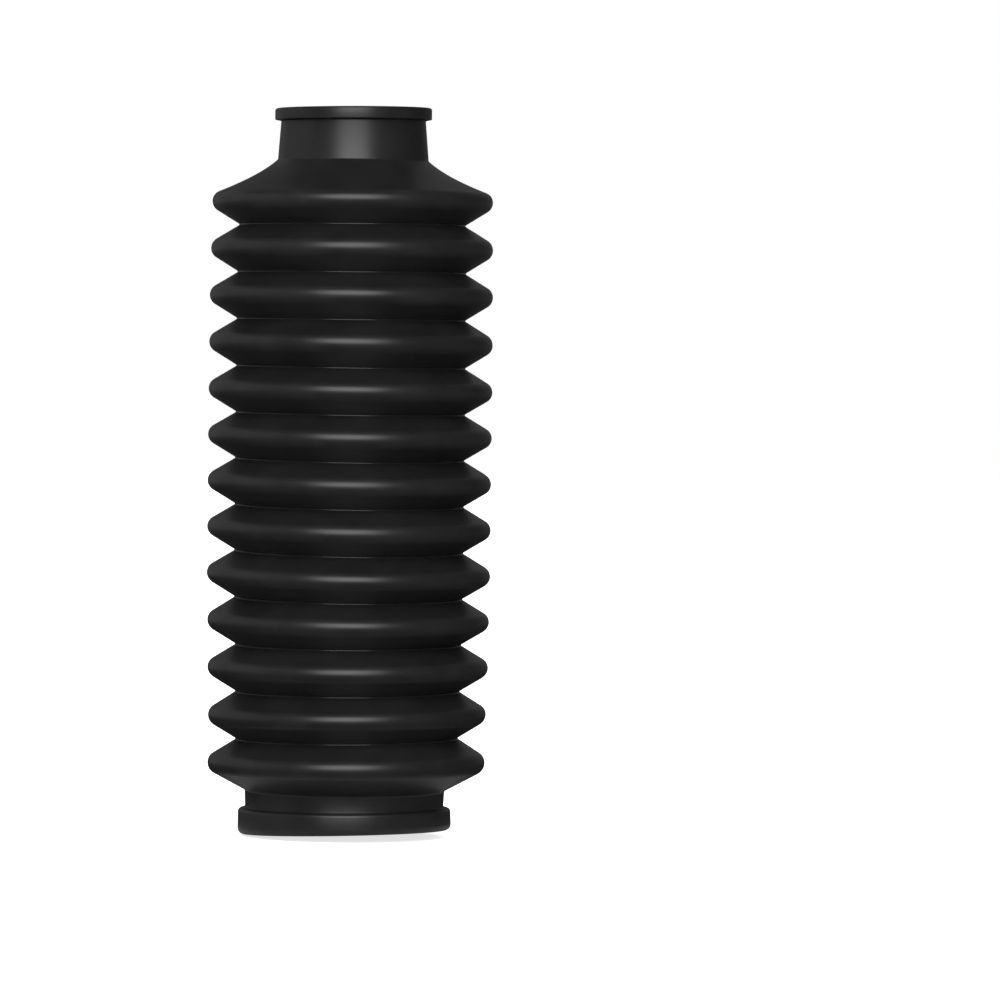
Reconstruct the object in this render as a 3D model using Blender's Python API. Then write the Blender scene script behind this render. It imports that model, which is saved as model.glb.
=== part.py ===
# Fork gaiter: a moulded rubber bellows that covers the sliding tube of a motorbike fork.
# One piece, hollow and open at both ends: a small cuff on top grips the fork tube,
# thirteen folds let it shorten and lengthen, and a wide cuff below grips the fork leg.
# Sizes are in metres. +Z points up, and the origin is the centre of the bottom face.

import math

import bmesh
import bpy

# Folds
FOLD_COUNT = 13
FOLD_PITCH = 0.0152
CREST_RADIUS = 0.0460  # outside of a fold, at its widest
FOLD_DEPTH = 0.0089  # from the crest in to the root, on the outside
NOSE_ROUND = 0.0036  # outside rounding of a crest
ROOT_ROUND = 0.0005  # outside rounding of a root
FOLD_WALL = 0.0016

# Top cuff
TOP_BORE_RADIUS = 0.0210  # fits a 41 to 43 mm fork tube
TOP_CUFF_WALL = 0.0025  # just below the rim
TOP_CUFF_HEIGHT = 0.0120  # from the shoulder up to the rim
TOP_CUFF_FLARE = 0.0008  # how much wider the cuff is at its foot
RIM_HEIGHT = 0.0041
RIM_PROUD = 0.0020
RIM_ROUND = 0.0008
RIM_SLOPE = 0.0006  # the underside falls this much towards the cuff

# Shoulder between the top cuff and the first fold, hollow like a trumpet's mouth
SHOULDER_HEIGHT = 0.0143  # from the top crest up to the foot of the cuff
SHOULDER_HOLLOW = 0.0570  # radius of the hollow curve

# Bottom cuff
BOTTOM_BORE_RADIUS = 0.0300  # fits a 60 mm fork leg or adapter ring
BOTTOM_CUFF_WALL = 0.0023
BOTTOM_CUFF_HEIGHT = 0.0060  # from the bead up to the lowest fold
FOOT_HEIGHT = 0.0089  # from the top of the cuff up to the lowest crest
BEAD_HEIGHT = 0.0067
BEAD_PROUD = 0.0023
BEAD_ROUND = 0.0013
BEAD_SLOPE = 0.0005  # the upper side falls this much outwards

# Both mouths
MOUTH_CHAMFER = 0.0004

# How finely the round shapes are cut
SIDES = 30
NOSE_STEPS = 4
ROOT_STEPS = 1
INNER_STEPS = 2
SHOULDER_STEPS = 3
EDGE_STEPS = 2
LEAST_ROUND = 0.0002  # the inside of a crest is never sharper than this

# Rubber
RUBBER_COLOUR = (0.0130, 0.0130, 0.0132, 1.0)
RUBBER_ROUGHNESS = 0.5

# Heights that follow from the sizes above
CUFF_TOP = BEAD_HEIGHT + BOTTOM_CUFF_HEIGHT
FIRST_CREST = CUFF_TOP + FOOT_HEIGHT
LAST_CREST = FIRST_CREST + (FOLD_COUNT - 1) * FOLD_PITCH
CUFF_FOOT = LAST_CREST + SHOULDER_HEIGHT
RIM_FOOT = CUFF_FOOT + TOP_CUFF_HEIGHT
TOP = RIM_FOOT + RIM_HEIGHT

# Radii that follow
TOP_CUFF_RADIUS = TOP_BORE_RADIUS + TOP_CUFF_WALL
CUFF_FOOT_RADIUS = TOP_CUFF_RADIUS + TOP_CUFF_FLARE
RIM_RADIUS = TOP_CUFF_RADIUS + RIM_PROUD
BOTTOM_CUFF_RADIUS = BOTTOM_BORE_RADIUS + BOTTOM_CUFF_WALL
BEAD_RADIUS = BOTTOM_CUFF_RADIUS + BEAD_PROUD


def clear_scene():
    for obj in list(bpy.data.objects):
        bpy.data.objects.remove(obj)


def arc(centre, radius, start, end, steps):
    """Points (r, z) along an arc. Angles start from straight outwards and turn upwards."""
    points = []
    for step in range(steps + 1):
        angle = start + (end - start) * step / steps
        points.append((centre[0] + radius * math.cos(angle), centre[1] + radius * math.sin(angle)))
    return points


def flank_slope():
    """The angle between a fold's flank and the level, for a flank tangent to both of its roundings."""
    rounds = NOSE_ROUND + ROOT_ROUND
    rise = FOLD_PITCH / 2
    run = FOLD_DEPTH - rounds
    return math.acos(rounds / math.hypot(rise, run)) - math.atan2(run, rise)


def fold_heights():
    return [FIRST_CREST + fold * FOLD_PITCH for fold in range(FOLD_COUNT)]


def shoulder_centre():
    """Centre of the hollow curve, from the top cuff's foot to the top crest's rounding."""
    foot = (CUFF_FOOT_RADIUS, CUFF_FOOT)
    nose = (CREST_RADIUS - NOSE_ROUND, LAST_CREST)
    across, down = nose[0] - foot[0], nose[1] - foot[1]
    span = math.hypot(across, down)
    along = (SHOULDER_HOLLOW**2 - (SHOULDER_HOLLOW + NOSE_ROUND) ** 2 + span**2) / (2 * span)
    off = math.sqrt(SHOULDER_HOLLOW**2 - along**2)
    across, down = across / span, down / span
    return (foot[0] + along * across - off * down, foot[1] + along * down + off * across)


def foot_slope():
    """The slope of the lowest flank, from the bottom cuff's top edge to the lowest crest's rounding."""
    across = CREST_RADIUS - NOSE_ROUND - BOTTOM_CUFF_RADIUS
    return math.atan2(FOOT_HEIGHT, across) - math.asin(NOSE_ROUND / math.hypot(across, FOOT_HEIGHT))


def bead():
    """The bottom cuff's bead, from the bottom face up to the cuff."""
    middle = BEAD_RADIUS - BEAD_ROUND
    shoulder = BEAD_HEIGHT - BEAD_SLOPE
    points = arc((middle, BEAD_ROUND), BEAD_ROUND, -math.pi / 2, 0, EDGE_STEPS)
    points += arc((middle, shoulder - BEAD_ROUND), BEAD_ROUND, 0, math.pi / 2, EDGE_STEPS)
    points.append((BOTTOM_CUFF_RADIUS, BEAD_HEIGHT))
    return points


def rim():
    """The top cuff's rim, from the cuff up to the top face."""
    middle = RIM_RADIUS - RIM_ROUND
    underside = RIM_FOOT + RIM_SLOPE
    points = [(TOP_CUFF_RADIUS, RIM_FOOT)]
    points += arc((middle, underside + RIM_ROUND), RIM_ROUND, -math.pi / 2, 0, EDGE_STEPS)
    points += arc((middle, TOP - RIM_ROUND), RIM_ROUND, 0, math.pi / 2, EDGE_STEPS)
    return points


def outside():
    """The outline of the outer surface, from the bottom face up to the top face."""
    turn = math.pi / 2 - flank_slope()
    hollow = shoulder_centre()
    nose_at = CREST_RADIUS - NOSE_ROUND
    root_at = CREST_RADIUS - FOLD_DEPTH + ROOT_ROUND
    points = bead()
    points.append((BOTTOM_CUFF_RADIUS, CUFF_TOP))
    for height in fold_heights():
        start, end = -turn, turn
        if height == FIRST_CREST:
            start = foot_slope() - math.pi / 2
        if height == fold_heights()[-1]:
            end = math.atan2(hollow[1] - height, hollow[0] - nose_at)
        points += arc((nose_at, height), NOSE_ROUND, start, end, NOSE_STEPS)
        if height != fold_heights()[-1]:
            root = (root_at, height + FOLD_PITCH / 2)
            points += arc(root, ROOT_ROUND, math.pi + turn, math.pi - turn, ROOT_STEPS)
    low = math.atan2(LAST_CREST - hollow[1], nose_at - hollow[0])
    high = math.atan2(CUFF_FOOT - hollow[1], CUFF_FOOT_RADIUS - hollow[0])
    points += arc(hollow, SHOULDER_HOLLOW, low, high, SHOULDER_STEPS)[1:]
    return points + rim()


def inside():
    """The outline of the inner surface, a wall inside the outer one, from the top face down."""
    slope = flank_slope()
    turn = math.pi / 2 - slope
    hollow = shoulder_centre()
    nose_round = max(NOSE_ROUND - FOLD_WALL, LEAST_ROUND)
    nose_at = CREST_RADIUS - NOSE_ROUND + (NOSE_ROUND - FOLD_WALL - nose_round) / math.sin(slope)
    root_at = CREST_RADIUS - FOLD_DEPTH + ROOT_ROUND
    points = [(TOP_BORE_RADIUS + MOUTH_CHAMFER, TOP), (TOP_BORE_RADIUS, TOP - MOUTH_CHAMFER)]
    curve = SHOULDER_HOLLOW + FOLD_WALL
    high = -math.acos((TOP_BORE_RADIUS - hollow[0]) / curve)
    low = math.atan2(LAST_CREST - hollow[1], nose_at - hollow[0])
    points += arc(hollow, curve, high, low, SHOULDER_STEPS)[:-1]
    for height in reversed(fold_heights()):
        start, end = turn, -turn
        if height == fold_heights()[-1]:
            start = math.atan2(hollow[1] - height, hollow[0] - nose_at)
        if height == FIRST_CREST:
            end = foot_slope() - math.pi / 2
        points += arc((nose_at, height), nose_round, start, end, INNER_STEPS)
        if height != FIRST_CREST:
            root = (root_at, height - FOLD_PITCH / 2)
            points += arc(root, ROOT_ROUND + FOLD_WALL, math.pi - turn, math.pi + turn, INNER_STEPS)
    down = BOTTOM_CUFF_WALL * math.tan(foot_slope())
    points.append((BOTTOM_BORE_RADIUS, CUFF_TOP + FOLD_WALL / math.cos(foot_slope()) - down))
    points.append((BOTTOM_BORE_RADIUS, MOUTH_CHAMFER))
    points.append((BOTTOM_BORE_RADIUS + MOUTH_CHAMFER, 0))
    return points


def rubber_material():
    material = bpy.data.materials.new("moulded_rubber")
    material.use_nodes = True
    shader = material.node_tree.nodes["Principled BSDF"]
    shader.inputs["Base Color"].default_value = RUBBER_COLOUR
    shader.inputs["Roughness"].default_value = RUBBER_ROUGHNESS
    shader.inputs["Metallic"].default_value = 0.0
    return material


def turned_piece(name, outline, material):
    """A solid made by turning a closed outline about the Z axis."""
    shape = bmesh.new()
    ring = [shape.verts.new((r, 0, z)) for r, z in outline]
    edges = [shape.edges.new((a, b)) for a, b in zip(ring, ring[1:] + ring[:1])]
    bmesh.ops.spin(
        shape,
        geom=ring + edges,
        cent=(0, 0, 0),
        axis=(0, 0, 1),
        angle=2 * math.pi,
        steps=SIDES,
        use_merge=True,
    )
    bmesh.ops.recalc_face_normals(shape, faces=shape.faces)
    mesh = bpy.data.meshes.new(name)
    shape.to_mesh(mesh)
    shape.free()
    mesh.materials.append(material)
    mesh.shade_smooth()
    mesh.set_sharp_from_angle(angle=math.radians(40))
    piece = bpy.data.objects.new(name, mesh)
    bpy.context.scene.collection.objects.link(piece)
    return piece


clear_scene()
turned_piece("gaiter", outside() + inside(), rubber_material())
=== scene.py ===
# A fork gaiter in black moulded rubber, seen in a small white studio.
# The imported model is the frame. The gaiter is turned again here with finer roundings,
# set a little out of true as soft rubber stands, and given its rubber.

import math

import bpy
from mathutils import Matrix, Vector


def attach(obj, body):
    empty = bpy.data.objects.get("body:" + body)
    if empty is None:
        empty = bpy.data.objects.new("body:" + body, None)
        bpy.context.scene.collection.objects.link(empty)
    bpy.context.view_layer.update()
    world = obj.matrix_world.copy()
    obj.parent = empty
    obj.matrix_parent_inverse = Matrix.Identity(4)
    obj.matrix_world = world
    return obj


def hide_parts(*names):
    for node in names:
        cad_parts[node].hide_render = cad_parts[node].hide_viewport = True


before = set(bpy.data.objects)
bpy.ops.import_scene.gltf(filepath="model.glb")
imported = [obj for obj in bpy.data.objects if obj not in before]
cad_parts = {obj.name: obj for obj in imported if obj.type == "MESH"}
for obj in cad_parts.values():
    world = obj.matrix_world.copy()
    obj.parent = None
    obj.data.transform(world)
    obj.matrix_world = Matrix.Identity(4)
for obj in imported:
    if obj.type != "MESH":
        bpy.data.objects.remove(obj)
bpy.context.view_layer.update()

mm = 0.001


# sRGB hex, as written, to the linear colour that a shader takes
def toLinear(hexColour):
    channels = [int(hexColour[i : i + 2], 16) / 255 for i in (1, 3, 5)]
    linear = [c / 12.92 if c <= 0.04045 else ((c + 0.055) / 1.055) ** 2.4 for c in channels]
    return linear + [1.0]


def addNode(tree, kind, values=None, links=None, **settings):
    node = tree.nodes.new(kind)
    for name, value in settings.items():
        setattr(node, name, value)
    for socket, value in (values or {}).items():
        node.inputs[socket].default_value = value
    for socket, source in (links or {}).items():
        tree.links.new(source, node.inputs[socket])
    return node


print("stage: outline of the gaiter")

# Sizes in mm, the solid's own apart from the shoulder and a few roundings that are finer here
gaiterShape = {
    "foldCount": 13,
    "foldPitch": 15.2,
    "crestRadius": 46.0,
    "foldDepth": 8.9,
    "noseRound": 3.6,
    "rootRound": 0.3,
    "foldWall": 1.6,
    "topBoreRadius": 21.0,
    "topCuffWall": 2.5,
    "topCuffHeight": 12.0,
    "topCuffFlare": 1.0,
    "rimHeight": 4.1,
    "rimProud": 2.0,
    "rimRound": 0.8,
    "rimFootRound": 0.25,
    "rimSlope": 0.35,
    "shoulderHeight": 14.3,
    "shoulderFootSlope": 41.0,  # degrees from the level, where it leaves the cuff
    "shoulderLipSlope": 22.5,  # degrees, where it runs out to the top crest
    "bottomBoreRadius": 30.0,
    "bottomCuffWall": 2.3,
    "bottomCuffHeight": 6.0,
    "footHeight": 8.9,
    "beadHeight": 6.7,
    "beadProud": 2.3,
    "beadTopRound": 1.1,
    "beadTopTurn": 75.0,  # degrees of that rounding, before its top runs in to the cuff
    "beadFootRound": 2.0,
    "beadSlope": 0.1,
    "cornerRound": 0.9,  # where a cuff meets its fold or the shoulder
    "rimCornerRound": 0.2,
    "beadCornerRound": 0.3,
    "mouthRound": 0.4,
    "pointSpacing": 0.6,  # along the outline
    "shoulderSteps": 30,
    "sides": 160,
}

g = gaiterShape
cuffTop = g["beadHeight"] + g["bottomCuffHeight"]
firstCrest = cuffTop + g["footHeight"]
lastCrest = firstCrest + (g["foldCount"] - 1) * g["foldPitch"]
cuffFoot = lastCrest + g["shoulderHeight"]
rimFoot = cuffFoot + g["topCuffHeight"]
topHeight = rimFoot + g["rimHeight"]
topCuffRadius = g["topBoreRadius"] + g["topCuffWall"]
cuffFootRadius = topCuffRadius + g["topCuffFlare"]
rimRadius = topCuffRadius + g["rimProud"]
bottomCuffRadius = g["bottomBoreRadius"] + g["bottomCuffWall"]
beadRadius = bottomCuffRadius + g["beadProud"]
noseAt = g["crestRadius"] - g["noseRound"]
rootAt = g["crestRadius"] - g["foldDepth"] + g["rootRound"]
halfPitch = g["foldPitch"] / 2
foldHeights = [firstCrest + fold * g["foldPitch"] for fold in range(g["foldCount"])]

# Each flank is straight and runs smoothly into the nose and the root beside it
rounds = g["noseRound"] + g["rootRound"]
flankRun = g["foldDepth"] - rounds
flankSpan = math.hypot(halfPitch, flankRun)
flankSlope = math.acos(rounds / flankSpan) - math.atan2(flankRun, halfPitch)
flankTurn = math.pi / 2 - flankSlope

# The lowest flank runs from the bottom cuff's top edge to the lowest nose
footRun = noseAt - bottomCuffRadius
footSpan = math.hypot(footRun, g["footHeight"])
footSlope = math.atan2(g["footHeight"], footRun) - math.asin(g["noseRound"] / footSpan)
footTurn = footSlope - math.pi / 2

# The shoulder leaves the top cuff steeply and flattens out to the top crest
cuffSlope = math.radians(g["shoulderFootSlope"])
lipSlope = math.radians(g["shoulderLipSlope"])
lipTurn = math.pi / 2 - lipSlope
shoulderTop = Vector((cuffFootRadius, cuffFoot))
shoulderLip = Vector((noseAt, lastCrest))
shoulderLip += g["noseRound"] * Vector((math.cos(lipTurn), math.sin(lipTurn)))


# Outlines are points (r, z), and angles start from straight outwards and turn upwards
def arc(centre, radius, start, end, least=5):
    steps = max(least, math.ceil(abs(end - start) * radius / g["pointSpacing"]))
    turns = [start + (end - start) * step / steps for step in range(steps + 1)]
    return [(centre[0] + radius * math.cos(t), centre[1] + radius * math.sin(t)) for t in turns]


def foldArc(height, start, end):
    return arc((noseAt, height), g["noseRound"], start, end, least=12)


# The corner between two straight runs, rounded
def roundedCorner(before, corner, after, radius, steps=4):
    inward = (Vector(before) - Vector(corner)).normalized()
    outward = (Vector(after) - Vector(corner)).normalized()
    half = inward.angle(outward) / 2
    middle = Vector(corner) + (inward + outward).normalized() * radius / math.sin(half)
    start = Vector(corner) + inward * radius / math.tan(half) - middle
    end = Vector(corner) + outward * radius / math.tan(half) - middle
    points = []
    for step in range(steps + 1):
        side = start.lerp(end, step / steps).normalized() * radius
        points.append(tuple(middle + side))
    return points


# From the cuff's foot out to the lip, or that curve set in by the thickness of the wall
def shoulderCurve(inset):
    steep = Vector((math.cos(cuffSlope), -math.sin(cuffSlope)))
    flat = Vector((math.cos(lipSlope), -math.sin(lipSlope)))
    across = shoulderLip - shoulderTop
    reach = (across.x * flat.y - across.y * flat.x) / (steep.x * flat.y - steep.y * flat.x)
    bend = shoulderTop + steep * reach
    points = []
    for step in range(g["shoulderSteps"] + 1):
        t = step / g["shoulderSteps"]
        at = shoulderTop * (1 - t) ** 2 + bend * 2 * t * (1 - t) + shoulderLip * t**2
        ahead = ((bend - shoulderTop) * (1 - t) + (shoulderLip - bend) * t).normalized()
        points.append((at.x + ahead.y * inset, at.y - ahead.x * inset))
    return points


# Up the outside, from the bottom face to the top face
def outsideOutline():
    footRound, topRound = g["beadFootRound"], g["beadTopRound"]
    beadTop = g["beadHeight"] - g["beadSlope"] - topRound
    points = arc((beadRadius - footRound, footRound), footRound, -math.pi / 2, 0)
    beadTurn = math.radians(g["beadTopTurn"])
    points += arc((beadRadius - topRound, beadTop), topRound, 0, beadTurn)

    beadInner = (bottomCuffRadius, g["beadHeight"])
    cuffCorner = (bottomCuffRadius, cuffTop)
    points += roundedCorner(points[-1], beadInner, cuffCorner, g["beadCornerRound"])
    flankStart = foldArc(firstCrest, footTurn, flankTurn)[0]
    points += roundedCorner(beadInner, cuffCorner, flankStart, g["cornerRound"])

    for height in foldHeights:
        start = footTurn if height == foldHeights[0] else -flankTurn
        end = lipTurn if height == foldHeights[-1] else flankTurn
        points += foldArc(height, start, end)
        if height != foldHeights[-1]:
            root = (rootAt, height + halfPitch)
            turns = math.pi + flankTurn, math.pi - flankTurn
            points += arc(root, g["rootRound"], *turns, least=6)

    cuffEnd = (topCuffRadius, rimFoot)
    shoulder = shoulderCurve(0.0)
    cornerStart = 3  # the curve's point where the rounding up to the cuff takes over
    points += shoulder[-2 : cornerStart - 1 : -1]
    points += roundedCorner(shoulder[cornerStart], shoulder[0], cuffEnd, g["cornerRound"])

    rimFootRound, rimRound = g["rimFootRound"], g["rimRound"]
    underside = (rimRadius - rimFootRound, rimFoot + g["rimSlope"])
    points += roundedCorner(shoulder[0], cuffEnd, underside, g["rimCornerRound"])
    points += arc((underside[0], underside[1] + rimFootRound), rimFootRound, -math.pi / 2, 0)
    points += arc((rimRadius - rimRound, topHeight - rimRound), rimRound, 0, math.pi / 2)
    return points


# Down the inside, a wall's thickness within the outside
def insideOutline():
    mouth, wall = g["mouthRound"], g["foldWall"]
    bore, lowBore = g["topBoreRadius"], g["bottomBoreRadius"]
    points = arc((bore + mouth, topHeight - mouth), mouth, math.pi / 2, math.pi, least=4)
    points += [point for point in shoulderCurve(wall) if point[0] > bore][:-1]
    for height in reversed(foldHeights):
        start = lipTurn if height == foldHeights[-1] else flankTurn
        end = footTurn if height == foldHeights[0] else -flankTurn
        points += arc((noseAt, height), g["noseRound"] - wall, start, end, least=5)
        if height != foldHeights[0]:
            root = (rootAt, height - halfPitch)
            turns = math.pi - flankTurn, math.pi + flankTurn
            points += arc(root, g["rootRound"] + wall, *turns, least=7)
    drop = g["bottomCuffWall"] * math.tan(footSlope)
    points.append((lowBore, cuffTop + wall / math.cos(footSlope) - drop))
    points += arc((lowBore + mouth, mouth), mouth, math.pi, math.pi * 1.5, least=4)
    return points


print("stage: the gaiter's mesh")

# How the soft rubber stands, as departures from its mould: at a height up the sleeve, how far it
# is lifted, shifted to +X and widened, all in mm, and how many degrees it leans: first up on the
# +X side, then down at the front
sleeveStance = [
    (0.0, -0.6, -0.2, 0.2, 1.7, -1.7),
    (7.0, 0.9, -0.3, 0.05, 0.5, 0.0),
    (13.0, 0.4, -0.25, 0.25, 0.2, 0.1),
    (21.6, 0.7, 0.15, -0.75, 0.45, 0.15),
    (30.0, 1.0, 0.2, -0.75, 0.75, 0.2),
    (55.0, 1.35, 0.3, -0.2, 0.35, 0.65),
    (85.0, 1.4, 0.15, 0.25, -0.25, 1.25),
    (115.0, 1.15, 0.05, 0.25, -0.2, 0.85),
    (145.0, 0.8, 0.05, 0.25, -0.2, 0.1),
    (175.0, 1.2, -0.05, 0.15, 0.1, -0.15),
    (204.0, 1.6, 0.0, -0.3, 0.35, -0.25),
    (218.3, 0.85, 0.0, 0.0, 0.0, 0.0),
    (234.4, 1.8, -0.1, 0.0, 0.8, 0.0),
]

# Where the two halves of the mould met, a fine ridge runs up each side
partingLine = {
    "angles": (0.0, 180.0),  # degrees
    "height": 0.12,
    "width": 0.5,  # from the middle to each edge
    "crown": 0.4,  # share of that width that stands at full height
}


# The angles of the mesh's columns, each with its share of the parting ridge
def anglesRound():
    crown = partingLine["crown"]
    ridgeOffsets = (-1, -crown, crown, 1)
    steps = g["sides"] - len(ridgeOffsets) * len(partingLine["angles"])
    found = [(360 * (step + 0.5) / steps, 0.0) for step in range(steps)]
    edge = math.degrees(partingLine["width"] / g["crestRadius"])
    for angle in partingLine["angles"]:
        for offset in ridgeOffsets:
            found.append(((angle + offset * edge) % 360, float(abs(offset) < 1)))
    return [(math.radians(angle), share) for angle, share in sorted(found)]


# The stance between two rows of the table, eased from one to the next
def stanceAt(z):
    below = max(row for row in sleeveStance[:-1] if row[0] <= max(z, 0.0))
    above = sleeveStance[sleeveStance.index(below) + 1]
    t = min(max((z - below[0]) / (above[0] - below[0]), 0.0), 1.0)
    t = t * t * (3 - 2 * t)
    return [low + (high - low) * t for low, high in zip(below[1:], above[1:])]


# One level of the sleeve as it stands, in mm, all the way round
def settledRing(r, z, ridge):
    lift, shift, wider, lean, nod = stanceAt(z)
    lean, nod = math.radians(lean), math.radians(nod)
    ring = []
    for angle, onRidge in columns:
        out = r + wider + ridge * onRidge
        x, y = out * math.cos(angle), out * math.sin(angle)
        ring.append((x + shift, y, z + lift + lean * x + nod * y))
    return ring


def gaiterMesh():
    outer, inner = outsideOutline(), insideOutline()
    rings = [settledRing(r, z, partingLine["height"]) for r, z in outer]
    rings += [settledRing(r, z, 0.0) for r, z in inner]
    verts = [tuple(v * mm for v in point) for ring in rings for point in ring]
    sides, faces, slots = len(columns), [], []
    for i in range(len(rings)):
        here, there = i * sides, (i + 1) % len(rings) * sides
        for side in range(sides):
            after = (side + 1) % sides
            faces.append((here + side, here + after, there + after, there + side))
        # On the outside, only a root of the folds lies this far in: it has the second material
        ends = outer[i : i + 2]
        inRoot = len(ends) == 2 and all(firstCrest < z < lastCrest and r < rootAt for r, z in ends)
        slots += [int(inRoot)] * sides
    mesh = bpy.data.meshes.new("moulded_gaiter")
    mesh.from_pydata(verts, [], faces)
    mesh.polygons.foreach_set("material_index", slots)
    mesh.update()
    print("outline points", len(rings), "triangles", 2 * len(faces))
    return mesh


columns = anglesRound()
mesh = gaiterMesh()
mesh.shade_smooth()
gaiter = bpy.data.objects.new("moulded_gaiter", mesh)
bpy.context.scene.collection.objects.link(gaiter)
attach(gaiter, "root")
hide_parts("gaiter")

print("stage: rubber")

# Black EPDM rubber from a turned steel mould. The eye gets a soft satin sheen that runs along
# each fold, faint rings that the mould's turning left, and the slight cloudiness of its bloom.
# Sizes are in mm. Real turning rings and grain are about 0.2 and 0.1 apart: both are drawn
# coarser, so that they show
rubberFinish = {
    "colour": "#161616",
    "bloomColour": "#1c1c1c",
    "bloomSize": 16.0,
    "bloomFrom": 0.35,  # level of the noise where a patch begins
    "bloomTo": 0.7,
    "roughness": (0.35, 0.39),  # bare rubber, then bloom
    "rootRoughness": (0.20, 0.24),  # the mould's sharp ridges polish the roots of the folds
    "ior": 1.46,
    "ringSpacing": 0.8,
    "ringHeight": 0.03,
    "ringFade": 30.0,  # round the sleeve, over which the rings come and go
    "grainSize": 0.35,
    "grainHeight": 0.006,
}


def mouldedRubber(name, roughness, ringHeight):
    f = rubberFinish
    material = bpy.data.materials.new(name)
    material.use_nodes = True
    tree = material.node_tree
    place = addNode(tree, "ShaderNodeTexCoord").outputs["Object"]

    # Bloom: patches a shade paler and duller
    bloom = addNode(
        tree,
        "ShaderNodeTexNoise",
        {"Scale": 1000 / f["bloomSize"], "Detail": 4.0, "Roughness": 0.6},
        {"Vector": place},
    ).outputs["Fac"]
    patches = addNode(
        tree,
        "ShaderNodeMapRange",
        {"From Min": f["bloomFrom"], "From Max": f["bloomTo"]},
        {"Value": bloom},
    ).outputs["Result"]
    colour = addNode(tree, "ShaderNodeMix", links={"Factor": patches}, data_type="RGBA")
    colour.inputs["A"].default_value = toLinear(f["colour"])
    colour.inputs["B"].default_value = toLinear(f["bloomColour"])
    dullness = addNode(
        tree,
        "ShaderNodeMapRange",
        {"To Min": roughness[0], "To Max": roughness[1]},
        {"Value": patches},
    )

    # Turning rings: noise that varies with the radius and the height only
    flat = addNode(
        tree, "ShaderNodeVectorMath", {1: (1, 1, 0)}, {0: place}, operation="MULTIPLY"
    ).outputs["Vector"]
    radius = addNode(
        tree, "ShaderNodeVectorMath", links={0: flat}, operation="LENGTH"
    ).outputs["Value"]
    height = addNode(tree, "ShaderNodeSeparateXYZ", links={0: place}).outputs["Z"]
    turned = addNode(tree, "ShaderNodeCombineXYZ", links={"X": radius, "Y": height})
    rings = addNode(
        tree,
        "ShaderNodeTexNoise",
        {"Scale": 1000 / f["ringSpacing"], "Detail": 2.0, "Roughness": 0.5},
        {"Vector": turned.outputs["Vector"]},
        noise_dimensions="2D",
    ).outputs["Fac"]
    fade = addNode(
        tree,
        "ShaderNodeTexNoise",
        {"Scale": 1000 / f["ringFade"], "Detail": 1.0},
        {"Vector": place},
    ).outputs["Fac"]
    faded = addNode(tree, "ShaderNodeMath", links={0: rings, 1: fade}, operation="MULTIPLY")

    # Grain of the mould's steel, under the rings
    grain = addNode(
        tree,
        "ShaderNodeTexNoise",
        {"Scale": 1000 / f["grainSize"], "Detail": 2.0},
        {"Vector": place},
    ).outputs["Fac"]
    grained = addNode(
        tree, "ShaderNodeBump", {"Distance": f["grainHeight"] * mm}, {"Height": grain}
    )
    ringed = addNode(
        tree,
        "ShaderNodeBump",
        {"Distance": ringHeight * mm},
        {"Height": faded.outputs["Value"], "Normal": grained.outputs["Normal"]},
    )

    shader = tree.nodes["Principled BSDF"]
    shader.inputs["IOR"].default_value = f["ior"]
    tree.links.new(colour.outputs["Result"], shader.inputs["Base Color"])
    tree.links.new(dullness.outputs["Result"], shader.inputs["Roughness"])
    tree.links.new(ringed.outputs["Normal"], shader.inputs["Normal"])
    return material


satinRubber = mouldedRubber(
    "moulded_epdm_rubber", rubberFinish["roughness"], rubberFinish["ringHeight"]
)
polishedRubber = mouldedRubber(
    "epdm_rubber_polished_by_mould", rubberFinish["rootRoughness"], ringHeight=0.0
)
mesh.materials.append(satinRubber)
mesh.materials.append(polishedRubber)

print("stage: studio")

# The gaiter stands on white card in a white room. That is what the camera sees: the gloss finds
# a dim room and a card with painted shade, darker as with the lamps a little way off in a dark
# studio, because bright surroundings would turn the rubber's blacks grey. Distances are in m
studio = {
    "roomWhite": 1.0,  # to the camera
    "roomDim": 0.03,  # in the gloss
    "roomFill": 0.95,  # soft light from all round on the rubber's own colour
    "cardColour": "#e2e2e2",
    "cardPaintedShade": "#303030",  # painted shade: the card's colour in the gloss, further out, where lamps would leave it dark
    "shadeGrows": (0.0, 0.08),  # from the axis
    "cardSize": 12.0,
    "glowAtFoot": 0.72,  # what the camera sees on top of the lamps' light
    "glowFarOut": 1.0,
    "glowGrows": (0.03, 0.22),  # from the axis
    "farPaintedGlow": (0.085, 0.035),  # painted glow, seen in the gloss only, 1 m to the left and 1 m to the right
    "farGrows": (0.3, 1.0),  # from the axis
}


def studioWorld():
    world = bpy.data.worlds.new("studio")
    world.use_nodes = True
    bpy.context.scene.world = world
    tree = world.node_tree
    tree.nodes.clear()
    rays = addNode(tree, "ShaderNodeLightPath")
    filled = addNode(
        tree,
        "ShaderNodeMapRange",
        {"To Min": studio["roomDim"], "To Max": studio["roomFill"]},
        {"Value": rays.outputs["Is Diffuse Ray"]},
    )
    level = addNode(
        tree,
        "ShaderNodeMapRange",
        {"To Max": studio["roomWhite"]},
        {"Value": rays.outputs["Is Camera Ray"], "To Min": filled.outputs["Result"]},
    )
    world.cycles.sampling_method = "NONE"  # so that each ray knows which kind it is
    room = addNode(
        tree,
        "ShaderNodeBackground",
        {"Color": (1, 1, 1, 1)},
        {"Strength": level.outputs["Result"]},
    )
    addNode(tree, "ShaderNodeOutputWorld", links={"Surface": room.outputs["Background"]})


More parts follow.
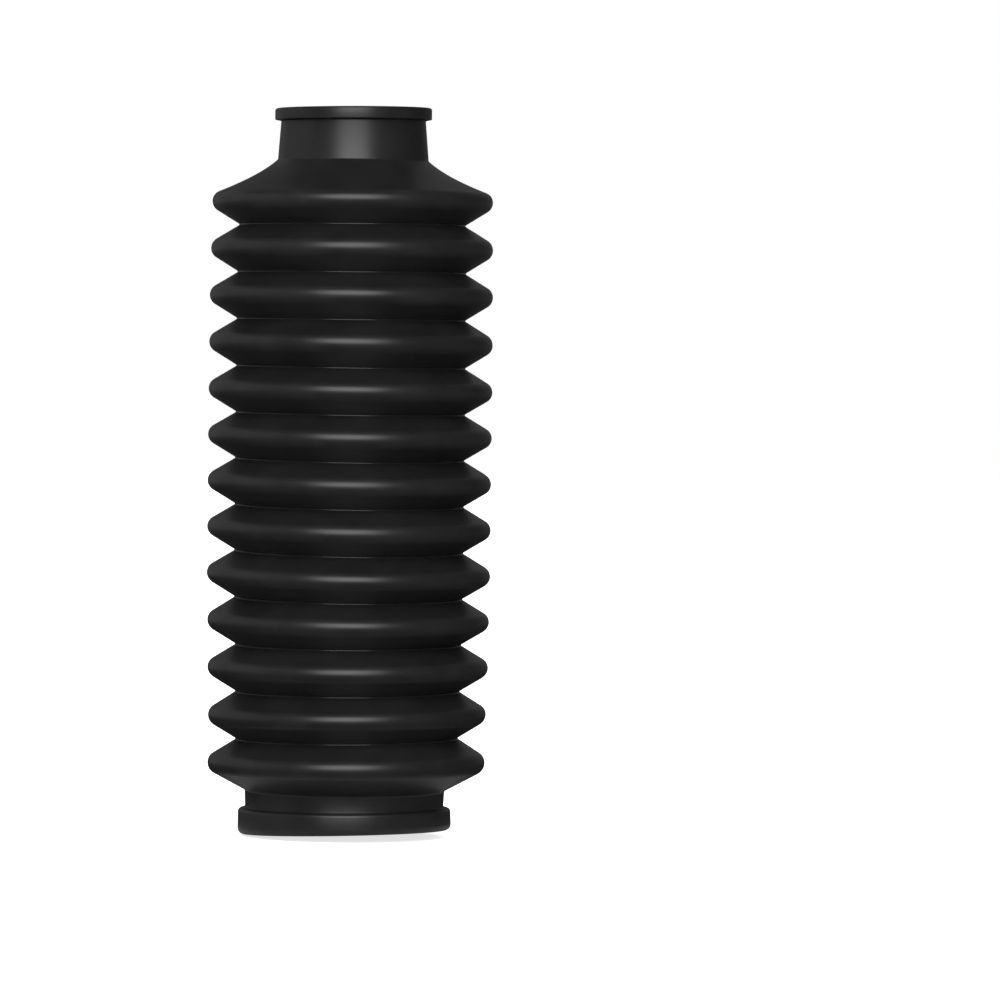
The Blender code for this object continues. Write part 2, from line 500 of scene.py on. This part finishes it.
def whiteCard():
    material = bpy.data.materials.new("matt_white_card")
    material.use_nodes = True
    tree = material.node_tree
    tree.nodes.clear()
    rays = addNode(tree, "ShaderNodeLightPath").outputs
    place = addNode(tree, "ShaderNodeTexCoord").outputs["Object"]
    fromAxis = addNode(
        tree, "ShaderNodeVectorMath", links={0: place}, operation="LENGTH"
    ).outputs["Value"]

    # The glow that the camera sees, least at the foot so that the shadow there stays
    glowNear, glowFar = studio["glowGrows"]
    spread = addNode(
        tree,
        "ShaderNodeMapRange",
        {
            "From Min": glowNear,
            "From Max": glowFar,
            "To Min": studio["glowAtFoot"],
            "To Max": studio["glowFarOut"],
        },
        {"Value": fromAxis},
        interpolation_type="SMOOTHSTEP",
    )
    seen = addNode(
        tree,
        "ShaderNodeMath",
        links={0: spread.outputs["Result"], 1: rays["Is Camera Ray"]},
        operation="MULTIPLY",
    )

    # Painted light: far out the card glows for the gloss only, most of all on the left
    sideways = addNode(tree, "ShaderNodeSeparateXYZ", links={0: place}).outputs["X"]
    leftGlow, rightGlow = studio["farPaintedGlow"]
    sidePaintedGlow = addNode(
        tree,
        "ShaderNodeMapRange",
        {"From Min": -1.0, "From Max": 1.0, "To Min": leftGlow, "To Max": rightGlow},
        {"Value": sideways},
    )
    farStart, farFull = studio["farGrows"]
    farOut = addNode(
        tree,
        "ShaderNodeMapRange",
        {"From Min": farStart, "From Max": farFull},
        {"Value": fromAxis, "To Max": sidePaintedGlow.outputs["Result"]},
        interpolation_type="SMOOTHSTEP",
    )
    farInGloss = addNode(
        tree,
        "ShaderNodeMath",
        links={0: farOut.outputs["Result"], 1: rays["Is Glossy Ray"]},
        operation="MULTIPLY",
    )
    strength = addNode(
        tree,
        "ShaderNodeMath",
        links={0: seen.outputs["Value"], 1: farInGloss.outputs["Value"]},
        operation="ADD",
    )

    # The card's colour with painted shade: darker outwards in the gloss
    shadeNear, shadeFar = studio["shadeGrows"]
    paintedShade = addNode(
        tree,
        "ShaderNodeMapRange",
        {"From Min": shadeNear, "From Max": shadeFar},
        {"Value": fromAxis},
        interpolation_type="SMOOTHSTEP",
    )
    inGloss = addNode(
        tree,
        "ShaderNodeMath",
        links={0: paintedShade.outputs["Result"], 1: rays["Is Glossy Ray"]},
        operation="MULTIPLY",
    )
    tone = addNode(
        tree, "ShaderNodeMix", links={"Factor": inGloss.outputs["Value"]}, data_type="RGBA"
    )
    tone.inputs["A"].default_value = toLinear(studio["cardColour"])
    tone.inputs["B"].default_value = toLinear(studio["cardPaintedShade"])

    card = addNode(tree, "ShaderNodeBsdfDiffuse", links={"Color": tone.outputs["Result"]})
    glow = addNode(
        tree,
        "ShaderNodeEmission",
        {"Color": (1, 1, 1, 1)},
        {"Strength": strength.outputs["Value"]},
    )
    material.cycles.emission_sampling = "NONE"  # as for the room
    both = addNode(
        tree,
        "ShaderNodeAddShader",
        links={0: card.outputs["BSDF"], 1: glow.outputs["Emission"]},
    )
    addNode(tree, "ShaderNodeOutputMaterial", links={"Surface": both.outputs["Shader"]})
    return material


def studioFloor():
    lowest = min(corner.co.z for corner in mesh.vertices)
    bpy.ops.mesh.primitive_plane_add(size=studio["cardSize"], location=(0, 0, lowest))
    floor = bpy.context.object
    floor.name = "studio_floor"
    floor.data.materials.append(whiteCard())


# Softboxes, all the same way off and aimed at the middle of the gaiter: how far round each
# stands and how high, in degrees, with 0 at the front and + to the right, its width and height
# in m, and its brightness in W per m2 and steradian. Those behind are faint, because the folds'
# edges would shine with them
softboxDistance = 2.0
softboxAim = 0.12  # m above the floor
softboxes = {
    "front_box": {"round": -0.8, "up": 26.0, "size": (1.62, 1.5), "brightness": 4.95},
    "left_box": {"round": -90.0, "up": 19.0, "size": (2.0, 1.68), "brightness": 0.33},
    "back_left_box": {"round": -138.0, "up": 15.0, "size": (1.5, 1.68), "brightness": 0.19},
    "right_box": {"round": 155.0, "up": 15.0, "size": (1.2, 1.68), "brightness": 0.07},
    "back_box": {"round": 180.0, "up": 20.0, "size": (1.5, 1.5), "brightness": 0.08},
    "ceiling_box": {"round": 180.0, "up": 66.0, "size": (3.0, 2.0), "brightness": 0.05},
}


def addSoftbox(name, box):
    width, height = box["size"]
    light = bpy.data.lights.new(name, "AREA")
    light.shape = "RECTANGLE"
    light.size, light.size_y = width, height
    light.energy = math.pi * width * height * box["brightness"]
    lamp = bpy.data.objects.new(name, light)
    around, up = math.radians(box["round"]), math.radians(box["up"])
    level = math.cos(up)
    away = Vector((math.sin(around) * level, -math.cos(around) * level, math.sin(up)))
    lamp.location = Vector((0, 0, softboxAim)) + away * softboxDistance
    lamp.rotation_euler = away.to_track_quat("Z", "Y").to_euler()
    lamp.visible_camera = False
    bpy.context.scene.collection.objects.link(lamp)


studioWorld()
studioFloor()
for name, box in softboxes.items():
    addSoftbox(name, box)

print("stage: camera")

cameraView = {
    "distance": 2.3443,
    "height": 0.1636,
    "lens": 258.01,
    "sensor": 36,
    "down": 0.02337,  # radians
    "right": 0.02107,
    "roll": 0.01339,
}


def addCamera():
    v = cameraView
    data = bpy.data.cameras.new("camera")
    data.lens = v["lens"]
    data.sensor_width = v["sensor"]
    camera = bpy.data.objects.new("camera", data)
    camera.location = (0, -v["distance"], v["height"])
    camera.rotation_mode = "XYZ"
    camera.rotation_euler = (math.pi / 2 - v["down"], 0, -v["right"])
    camera.rotation_euler.rotate_axis("Z", v["roll"])
    bpy.context.scene.collection.objects.link(camera)
    bpy.context.scene.camera = camera


addCamera()
bpy.context.scene.view_settings.view_transform = "Standard"
